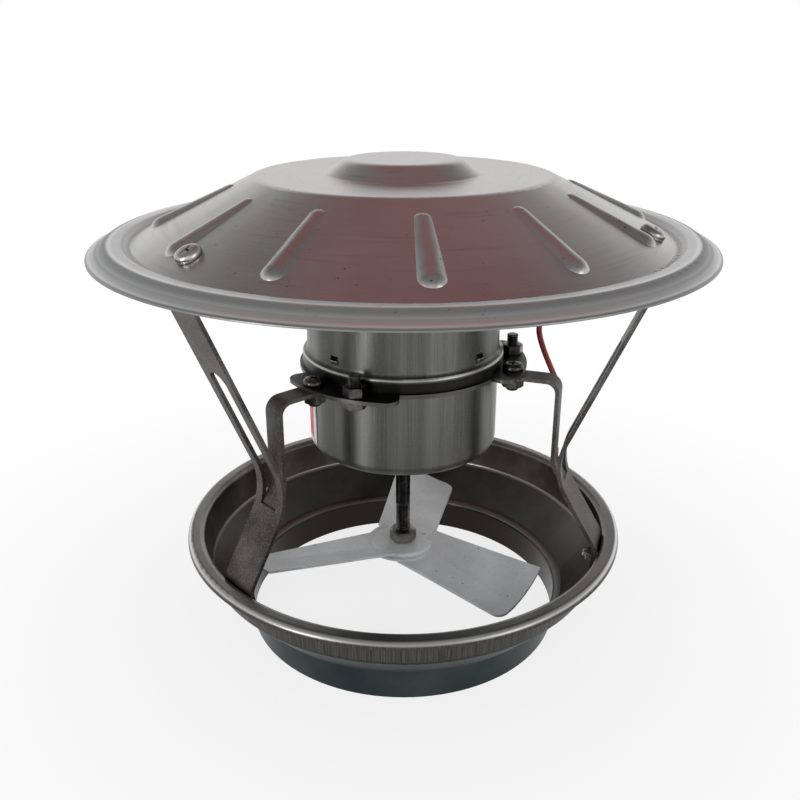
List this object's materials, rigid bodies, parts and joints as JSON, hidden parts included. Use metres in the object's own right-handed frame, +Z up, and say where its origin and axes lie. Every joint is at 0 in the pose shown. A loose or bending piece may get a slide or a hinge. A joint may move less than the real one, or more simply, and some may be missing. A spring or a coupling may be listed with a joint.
{
  "type": "chimney draught fan",
  "caption": "Powered chimney-top fan: ribbed sheet-metal rain cap on lanced legs over a flared flue collar, with a motor hung between them and a bladed impeller on its shaft.",
  "frame": {"origin": "middle of the collar's lower edge, on the shaft's axis", "axes": "+Z up along the shaft, the picture's viewer looks along +Y"},
  "size_m": [0.3, 0.3285, 0.2494],
  "materials": {
    "cap_steel": "pressed stainless sheet, satin",
    "leg_steel": "bare strip, dull and speckled",
    "collar_steel": "spun sheet, streaked",
    "motor_steel": "drawn sheet with upright streaks",
    "screw_steel": "bright plated",
    "nut_steel": "plated, dull",
    "shaft_steel": "dark ground steel, oiled",
    "core_iron": "laminated sheet",
    "winding_copper": "varnished copper wire",
    "bush_bronze": "sintered bronze",
    "blade_aluminium": "stamped sheet, matt",
    "grommet_rubber": "moulded rubber",
    "lead_red": "red silicone sheath",
    "tie_plastic": "nylon tie",
    "plug_plastic": "moulded plug",
    "pin_brass": "nickelled brass"
  },
  "bodies": {
    "frame": {"rain_cap": "cap_steel", "cap_screws": "screw_steel", "cap_nuts": "screw_steel", "leg_front_left": "leg_steel", "leg_right": "leg_steel", "leg_rear": "leg_steel", "flue_collar": "collar_steel", "foot_screws": "screw_steel", "foot_nuts": "screw_steel", "motor_upper_can": "motor_steel", "motor_lower_cup": "motor_steel", "ear_screws": "screw_steel", "ear_nuts": "screw_steel", "motor_bolts": "screw_steel", "motor_nuts": "screw_steel", "stator_core": "core_iron", "stator_windings": "winding_copper", "upper_bearing": "bush_bronze", "lower_bearing": "bush_bronze", "cable_grommet": "grommet_rubber", "power_lead": "lead_red", "lead_coil": "lead_red", "coil_tie": "tie_plastic", "plug_body": "plug_plastic", "plug_pins": "pin_brass"},
    "rotor": {"shaft": "shaft_steel", "rotor_core": "core_iron", "thrust_washers": "shaft_steel", "impeller": "blade_aluminium", "impeller_upper_nut": "nut_steel", "impeller_lower_nut": "nut_steel"}
  },
  "joints": [
    {"name": "fan_spin", "type": "hinge", "parent": "frame", "child": "rotor", "pos_m": [0, 0, 0.04], "axis": [0, 0, 1], "continuous": true}
  ]
}
